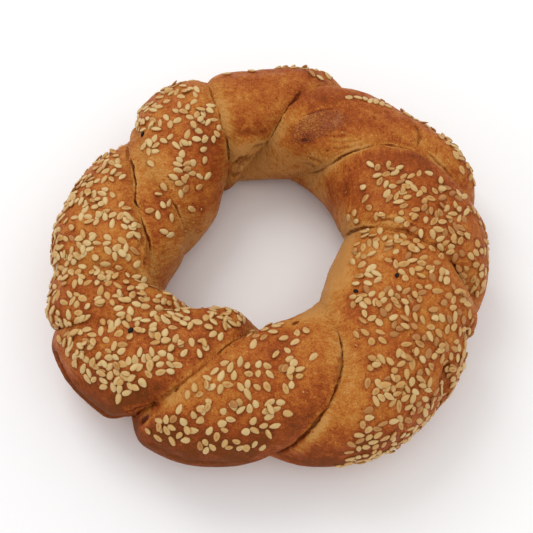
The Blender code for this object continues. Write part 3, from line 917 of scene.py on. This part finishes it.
class BreadStageSettings(bpy.types.PropertyGroup):
    floor_size: length_setting("Floor size", "Side of the square floor", 3.0)
    floor_colour: colour_setting("Floor colour", "Colour of the floor", (0.93, 0.93, 0.93, 1.0))
    sky_strength: share_setting("Surrounding light", "Strength of the even light", 0.865, max=10.0)
    key_power: power_setting("Main light", "Power of the main soft light", 1.5)
    fill_power: power_setting("Fill light", "Power of the weaker soft light", 0.4)
    camera_elevation: angle_setting("Camera elevation", "Angle above the table", math.radians(62.0))
    camera_distance: length_setting("Camera distance", "Distance to the middle of the ring", 0.30)


# ---- Pieces ----

def displace(piece, name, scale, strength, group, depth=2, layer=""):
    """Raise and lower the surface by soft clouds within a vertex group."""
    texture = bpy.data.textures.new(name, "CLOUDS")
    texture.noise_scale = scale
    texture.noise_depth = depth
    modifier = piece.modifiers.new(name, "DISPLACE")
    modifier.texture = texture
    modifier.strength = strength
    modifier.mid_level = 0.5
    modifier.vertex_group = group
    modifier.texture_coords = "UV" if layer else "LOCAL"
    if layer:
        modifier.uv_layer = layer


def fill_group(piece, name, weights):
    """Make a vertex group whose weights come in steps of a fiftieth."""
    group = piece.vertex_groups.new(name=name)
    levels = np.round(np.clip(weights, 0.0, 1.0) * 50).astype(int)
    for level in range(1, 51):
        members = np.nonzero(levels == level)[0]
        if len(members):
            group.add(members.tolist(), level / 50.0, "REPLACE")


def lay_strands(mesh):
    """Lay out a UV map in which the dough's strands run slantwise over the lobes.

    One unit is a millimetre across the strands. Along them all is drawn out.
    """
    layer = mesh.uv_layers[0]
    layer.name = "strands"
    uv = np.zeros(len(mesh.loops) * 2, dtype=np.float32)
    layer.data.foreach_get("uv", uv)
    lobes = uv[0::2] * len(LOBES)
    turned = uv[1::2] * 360.0
    across_strands = 16.5 * lobes + 0.27 * turned
    along_strands = (23.0 * lobes - 0.20 * turned) * 0.13
    layer.data.foreach_set("uv", np.stack([across_strands, along_strands], axis=-1).ravel())


def browning(surface, nearest):
    """How well baked each place is, from 0 (pale) to 1 and over (scorched), with painted shade
    added round the foot and on the lower front.
    """
    height = surface.points[..., 2]
    return (USUAL_BROWNING + painted(surface, BROWNING_AND_SHADE)
            + 0.03 * seed_cover(surface)                        # browner between the seeds
            - 0.07 * np.exp(-(nearest / 3.5)**2)                # paler beside the creases
            + 0.05 * smooth_step((height - 24.0) / 10.0)        # browner on the crowns
            # round the foot the crust is partly scorched by the tray and partly darkened as painted
            # shade
            + 0.16 * smooth_step((9.0 - height) / 9.0))         # and browner round the foot


def stretching(surface, nearest):
    """Where the dough is pulled into fine streaks: beside the creases and towards the hole."""
    near = np.exp(-(nearest / 5.0)**2)
    inside = smooth_step((surface.section - 125.0) / 35.0)
    return np.clip(0.15 + 0.35 * near + 0.30 * inside, 0.0, 1.0)


class MESH_OT_bread_crust(bpy.types.Operator):
    """Make the crust of the bread ring"""
    bl_idname = "mesh.bread_crust"
    bl_label = "Bread crust"
    bl_options = {"REGISTER", "UNDO"}

    def execute(self, context):
        settings = context.scene.bread_crust
        columns, rows = settings.columns_per_lobe * len(LOBES), settings.rows
        surface = dough_surface(settings.columns_per_lobe, rows)
        normals = grid_normals(surface.points)
        draw = np.random.default_rng(settings.draw_number)
        outward, marks = groove_relief(surface, normals, draw)

        bpy.ops.object.select_all(action="DESELECT")
        bpy.ops.mesh.primitive_grid_add(x_subdivisions=columns, y_subdivisions=rows, size=1.0)
        crust = context.object
        mesh = crust.data
        crust.name = mesh.name = "crust"
        flat = vertex_places(mesh)
        column = np.round((flat[:, 0] + 0.5) * columns).astype(int) % columns
        row = np.round((flat[:, 1] + 0.5) * rows).astype(int)
        spot = (*np.divmod(column, settings.columns_per_lobe), row)
        set_vertex_places(mesh, (surface.points + normals * outward[..., None])[spot] * MM)
        lay_strands(mesh)

        nearest = np.minimum(surface.before, surface.after)
        stretch = stretching(surface, nearest)
        blister = smooth_step((painted(surface, BLISTER) - 0.3) / 0.4)
        marks.update(bake=browning(surface, nearest), stretch=stretch, blister=blister)
        for name, values in marks.items():
            store_values(mesh, name, values[spot])
        seen = between(surface.section, -25.0, 215.0, 30.0)
        fill_group(crust, "seen", seen[spot])
        fill_group(crust, "stretched", (stretch * seen)[spot])
        fill_group(crust, "blistered", blister[spot])
        face_outwards(crust, MERGE_DISTANCE)

        displace(crust, "soft_lumps", 0.011, settings.lump_height, "seen", 1)
        displace(crust, "small_lumps", 0.0032, settings.lump_height * 0.36, "seen")
        displace(crust, "wrinkles", 1.8, settings.wrinkle_height, "stretched", 2, "strands")
        displace(crust, "blisters", 0.0016, settings.blister_height, "blistered")
        for modifier in list(crust.modifiers):
            bpy.ops.object.modifier_apply(modifier=modifier.name)
        places = vertex_places(mesh)
        places[:, 2] = np.clip(places[:, 2], RING_BOX[0].z, RING_BOX[1].z)
        set_vertex_places(mesh, places)
        crust.vertex_groups.clear()
        bpy.ops.object.shade_smooth()
        put_on_ring(crust, crust_material(settings))
        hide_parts("bread_ring")
        return {"FINISHED"}


def seed_shape():
    """One seed: a flat drop 1 long, 1 wide and 1 thick, with its point at +X.

    Also says how much of each corner belongs to the rim, whose brown is partly painted shade, and
    to the hollow middle of the upper side.
    """
    bpy.ops.object.select_all(action="DESELECT")
    bpy.ops.mesh.primitive_uv_sphere_add(segments=8, ring_count=6, radius=0.5,
                                         rotation=(0.0, math.radians(90.0), 0.0))
    bpy.ops.object.transform_apply(location=True, rotation=True, scale=True)
    seed = bpy.context.object
    mesh = seed.data
    places = vertex_places(mesh).astype(float)
    along = places[:, 0] * 2.0
    slim = np.where(along > 0.0, 1.0 - 0.42 * np.abs(along)**1.5, 1.0 + 0.16 * along**2)
    places[:, 1] *= slim
    flank = np.sqrt(np.clip(1.0 - along**2, 0.0, 1.0))
    places[:, 2] = 0.5 * np.sign(places[:, 2]) * np.abs(2.0 * places[:, 2])**0.6 * flank**0.1
    faces = [tuple(face.vertices) for face in mesh.polygons]
    above = places[:, 2] > 0.1
    rim = np.where(above, 0.0, 1.0)
    hollow = np.where(above, np.exp(-(along / 0.6)**2 - (places[:, 1] / 0.2)**2), 0.0)
    bpy.data.objects.remove(seed)
    bpy.data.meshes.remove(mesh)
    return places, faces, rim, hollow


def settle(spots, normals):
    """Move places of the smooth form onto the finished crust, and lean their normals its way."""
    crust = bpy.data.objects["crust"]
    settled, leaning = [], []
    for spot, normal in zip(spots, normals):
        found, place, upward, _ = crust.closest_point_on_mesh(Vector(spot) * MM)
        if not found:
            raise RuntimeError("a seed has no crust below it")
        settled.append(np.array(place) / MM)
        leaning.append(normal + np.array(upward))
    leaning = np.array(leaning)
    return np.array(settled), leaning / np.linalg.norm(leaning, axis=1)[:, None]


def stand_seeds(name, shape, spots, normals, heading, size, tilt, lift, toast):
    """Join copies of the seed shape, one for each spot, into one mesh."""
    places, faces = shape[:2]
    normals = normals / np.linalg.norm(normals, axis=1)[:, None]
    side = np.cross(normals, heading)
    side /= np.linalg.norm(side, axis=1)[:, None]
    forward = np.cross(side, normals)
    pitch, roll = tilt[:, 0:1], tilt[:, 1:2]
    forward, up = (forward * np.cos(pitch) + normals * np.sin(pitch),
                   normals * np.cos(pitch) - forward * np.sin(pitch))
    side, up = side * np.cos(roll) + up * np.sin(roll), up * np.cos(roll) - side * np.sin(roll)
    local = places[None, :, :] * size[:, None, :]
    points = spots[:, None, :] + normals[:, None, :] * lift[:, None, None]
    for number, way in enumerate((forward, side, up)):
        points = points + local[:, :, number:number + 1] * way[:, None, :]
    all_faces = [tuple(corner + len(places) * number for corner in face)
                 for number in range(len(spots)) for face in faces]
    mesh = bpy.data.meshes.new(name)
    mesh.from_pydata((points.reshape(-1, 3) * MM).tolist(), [], all_faces)
    store_values(mesh, "toast", np.broadcast_to(toast, (len(spots), len(places))))
    piece = bpy.data.objects.new(name, mesh)
    bpy.context.scene.collection.objects.link(piece)
    face_outwards(piece)
    bpy.ops.object.shade_smooth()
    return piece


def clumps(points, draw):
    """A smooth random field between about -1 and 1 that makes the seeds lie in clumps."""
    total = np.zeros(points.shape[:-1])
    for pitch in (5.5, 7.0, 9.0, 12.0, 16.0):
        way = draw.normal(0.0, 1.0, 3)
        way *= 2.0 * np.pi / pitch / np.linalg.norm(way)
        total += 0.4 * np.sin(points @ way + draw.uniform(0.0, 2.0 * np.pi))
    return total


def throw(surface, rate, draw):
    """Columns and rows of seeds thrown at random, with the given number to a square millimetre."""
    rows = rate.shape[2]
    flat = surface.points.reshape(-1, rows, 3)
    wide = np.roll(flat, -1, axis=0)[:, :-1] - flat[:, :-1]
    tall = flat[:, 1:] - flat[:, :-1]
    number = rate.reshape(-1, rows)[:, :-1] * np.linalg.norm(np.cross(wide, tall), axis=-1)
    share = (number / number.sum()).ravel()
    chosen = draw.choice(share.size, size=int(number.sum()), p=share)
    column, row = np.divmod(chosen, rows - 1)
    return column + draw.random(len(chosen)), row + draw.random(len(chosen))


def random_headings(ups, draw):
    """Directions that the seeds' points face, at random within the surface."""
    turn = draw.uniform(0.0, 2.0 * np.pi, len(ups))[:, None]
    reference = np.cross(ups, np.array([0.31, 0.17, 0.93]))
    reference /= np.linalg.norm(reference, axis=1)[:, None]
    return reference * np.cos(turn) + np.cross(ups, reference) * np.sin(turn)


def seed_beads(spots, headings, steps, settings):
    """Points along the middle line of each seed, from -1 at its tail to 1 at its point."""
    half = 0.5 * (settings.seed_length - settings.seed_width) / MM
    return spots[:, None, :] + headings[:, None, :] * (np.array(steps) * half)[None, :, None]


def keep_clear(spots, headings, settings):
    """Numbers of the seeds that stay once those that would lie through an earlier one go."""
    clear = settings.clearance * settings.seed_width / MM
    beads = seed_beads(spots, headings, (-1.0, -0.33, 0.33, 1.0), settings)
    kept = []
    kept_spots = np.full((len(spots), 3), 1e6)
    for number, spot in enumerate(spots):
        apart = np.abs(kept_spots[:len(kept)] - spot).max(axis=1)
        near = np.nonzero(apart < TOUCHING_RANGE)[0]
        if len(near):
            others = beads[[kept[place] for place in near]]
            gap = others[:, :, None, :] - beads[number][None, None, :, :]
            if (gap**2).sum(axis=-1).min() < clear**2:
                continue
        kept_spots[len(kept)] = spot
        kept.append(number)
    return kept


def glaze_round_seeds(spots, headings, settings):
    """Note on the crust how close each place lies to a seed, because the glaze browns the crust
    there and shade is painted there.
    """
    mesh = bpy.data.objects["crust"].data
    beads = seed_beads(spots, headings, (-1.0, 0.0, 1.0), settings).reshape(-1, 3)
    tree = KDTree(len(beads))
    for number, bead in enumerate(beads):
        tree.insert(bead, number)
    tree.balance()
    distance = np.array([tree.find(place)[2] for place in vertex_places(mesh) / MM])
    store_values(mesh, "glaze_and_seed_shade", smooth_step((GLAZE_AND_SHADE_WIDTH - distance) / (GLAZE_AND_SHADE_WIDTH / 2)))


class MESH_OT_sesame_seeds(bpy.types.Operator):
    """Scatter the sesame seeds over the lobes"""
    bl_idname = "mesh.sesame_seeds"
    bl_label = "Sesame seeds"
    bl_options = {"REGISTER", "UNDO"}

    def execute(self, context):
        settings = context.scene.sesame
        surface = dough_surface(*SEED_GRID)
        normals = grid_normals(surface.points)
        draw = np.random.default_rng(settings.draw_number)
        cover = seed_cover(surface) * (1.0 + settings.clumping * clumps(surface.points, draw))
        cover = np.clip(cover, 0.0, 1.0)

        # the seeds that lie alone come first, so that the strewn ones keep clear of them
        alone = listed_places(surface, [(lobe, *place) for lobe, places in LONE_SEEDS.items()
                                        for place in places])
        strewn = throw(surface, -np.log(1.0 - 0.97 * cover) * THROW_RATE, draw)
        upper = between(surface.section, 15.0, 150.0, 30.0)
        above = throw(surface, np.clip(cover - 0.7, 0.0, 1.0) * settings.stacking * upper, draw)
        usual_size = (settings.seed_length / MM, settings.seed_width / MM,
                      settings.seed_thickness / MM)
        # each layer: its places, the least and greatest lift of a seed in thicknesses, how much the
        # seeds lean and their share of the usual size
        layers = []
        for place, lowest, highest, slope, share in (
                (np.concatenate([alone, strewn], axis=1), -0.20, 0.30, 0.16, 1.0),
                (above, 0.45, 0.85, 0.28, 0.95),
                (listed_places(surface, CRUMBS), 0.10, 0.30, 0.30, 0.24)):
            spots, ups = read_grid(surface.points, *place), read_grid(normals, *place)
            headings = random_headings(ups, draw)
            kept = keep_clear(spots, headings, settings)
            count = len(kept)
            size = np.stack([draw.normal(usual, spread, count) for usual, spread
                             in zip(usual_size, SIZE_SPREAD)], axis=-1) * share
            toast = draw.normal(USUAL_TOAST, TOAST_SPREAD, count)
            toast += read_grid(painted(surface, SEED_TOASTING), *place)[kept]
            layers.append((spots[kept], ups[kept], headings[kept], size,
                           draw.normal(0.0, slope, (count, 2)),
                           draw.uniform(lowest, highest, count) * size[:, 2], toast,
                           draw.uniform(-0.3, 0.65, count)))
        black = read_grid(surface.points, *listed_places(surface, BLACK_SEEDS))
        spots = np.concatenate([layer[0] for layer in layers])
        apart = np.linalg.norm(spots[:, None, :] - black[None, :, :], axis=-1)
        free = apart.min(axis=1) > BLACK_SEED_ROOM
        spots, ups, headings, size, tilt, lift, toast, hollowing = (
            np.concatenate(part)[free] for part in zip(*layers))
        shape = seed_shape()
        rim, hollow = shape[2:]
        # the rim and underside are browned, partly as toasting and partly as painted shade
        toast = (np.clip(toast, -0.1, 0.95)[:, None] + settings.rim_toasting * rim
                 + np.clip(hollowing, 0.0, 1.0)[:, None] * hollow)
        spots, ups = settle(spots, ups)
        glaze_round_seeds(spots, headings, settings)
        seeds = stand_seeds("sesame_seeds", shape, spots, ups, headings, size, tilt, lift, toast)
        put_on_ring(seeds, seed_material(settings))
        return {"FINISHED"}


class MESH_OT_black_seeds(bpy.types.Operator):
    """Add the few black seeds"""
    bl_idname = "mesh.black_seeds"
    bl_label = "Black seeds"
    bl_options = {"REGISTER", "UNDO"}

    def execute(self, context):
        surface = dough_surface(*SEED_GRID)
        place = listed_places(surface, BLACK_SEEDS)
        spots = read_grid(surface.points, *place)
        ups = read_grid(grid_normals(surface.points), *place)
        turn, length = np.array([row[3:] for row in BLACK_SEEDS]).T
        turn = np.radians(turn)[:, None]
        side = np.cross(ups, np.array([0.0, 1.0, 0.0]))
        headings = side * np.cos(turn) + np.cross(ups, side) * np.sin(turn)
        size = np.stack([length, length * 0.75, length * 0.5], axis=-1)
        spots, ups = settle(spots, ups)
        flat = np.zeros((len(spots), 2))
        black = stand_seeds("black_seeds", seed_shape(), spots, ups, headings, size, flat,
                            size[:, 2] * 0.2, flat[:, :1])
        put_on_ring(black, black_seed_material(context.scene.sesame))
        return {"FINISHED"}


class SCENE_OT_bread_stage(bpy.types.Operator):
    """Set up the floor, the lights and the camera"""
    bl_idname = "scene.bread_stage"
    bl_label = "Stage"
    bl_options = {"REGISTER", "UNDO"}

    AIM = Vector((0.0, 0.0, 0.015))

    def execute(self, context):
        settings = context.scene.bread_stage
        bpy.ops.object.select_all(action="DESELECT")
        bpy.ops.mesh.primitive_plane_add(size=settings.floor_size)
        floor = context.object
        floor.name = "floor"
        floor.data.materials.append(floor_material(settings))

        world = bpy.data.worlds.new("studio")
        world.use_nodes = True
        background = world.node_tree.nodes["Background"]
        background.inputs["Color"].default_value = (1.0, 1.0, 1.0, 1.0)
        background.inputs["Strength"].default_value = settings.sky_strength
        context.scene.world = world
        self.soft_light("main_light", (-0.25, 0.35, 0.60), 0.35, settings.key_power)
        self.soft_light("fill_light", (0.40, -0.20, 0.60), 0.50, settings.fill_power)

        lean = settings.camera_elevation
        back = Vector((0.0, -math.cos(lean), math.sin(lean))) * settings.camera_distance
        bpy.ops.object.camera_add(location=self.AIM + back,
                                  rotation=(math.radians(90.0) - lean, 0.0, 0.0))
        camera = context.scene.camera = context.object
        camera.name = "camera"
        camera.data.sensor_width = 36.0
        camera.data.lens = 65.05
        camera.data.shift_x = -0.0056
        camera.data.shift_y = -0.0206
        context.scene.view_settings.view_transform = "Standard"
        return {"FINISHED"}

    def soft_light(self, name, place, size, power):
        aim = (self.AIM - Vector(place)).to_track_quat("-Z", "Y").to_euler()
        bpy.ops.object.light_add(type="AREA", location=place, rotation=aim)
        light = bpy.context.object
        light.name = name
        light.data.energy = power
        light.data.size = size


SETTINGS = {
    "bread_crust": BreadCrustSettings,
    "sesame": SesameSettings,
    "bread_stage": BreadStageSettings,
}
OPERATORS = (MESH_OT_bread_crust, MESH_OT_sesame_seeds, MESH_OT_black_seeds, SCENE_OT_bread_stage)


class VIEW3D_PT_bread_ring(bpy.types.Panel):
    """Lists the pieces of the bread ring"""
    bl_idname = "VIEW3D_PT_bread_ring"
    bl_label = "Bread Ring"
    bl_space_type = "VIEW_3D"
    bl_region_type = "UI"
    bl_category = "Bread Ring"

    def draw(self, context):
        for operator in OPERATORS:
            self.layout.operator(operator.bl_idname)
        for name, kind in SETTINGS.items():
            box = self.layout.box()
            for setting in kind.__annotations__:
                box.prop(getattr(context.scene, name), setting)


CLASSES = (*SETTINGS.values(), *OPERATORS, VIEW3D_PT_bread_ring)


def register():
    for item in CLASSES:
        bpy.utils.register_class(item)
    for name, kind in SETTINGS.items():
        setattr(bpy.types.Scene, name, PointerProperty(type=kind))


def unregister():
    for name in SETTINGS:
        delattr(bpy.types.Scene, name)
    for item in reversed(CLASSES):
        bpy.utils.unregister_class(item)


def main():
    register()
    bpy.ops.mesh.bread_crust()
    bpy.ops.mesh.sesame_seeds()
    bpy.ops.mesh.black_seeds()
    bpy.ops.scene.bread_stage()


if __name__ == "__main__":
    main()
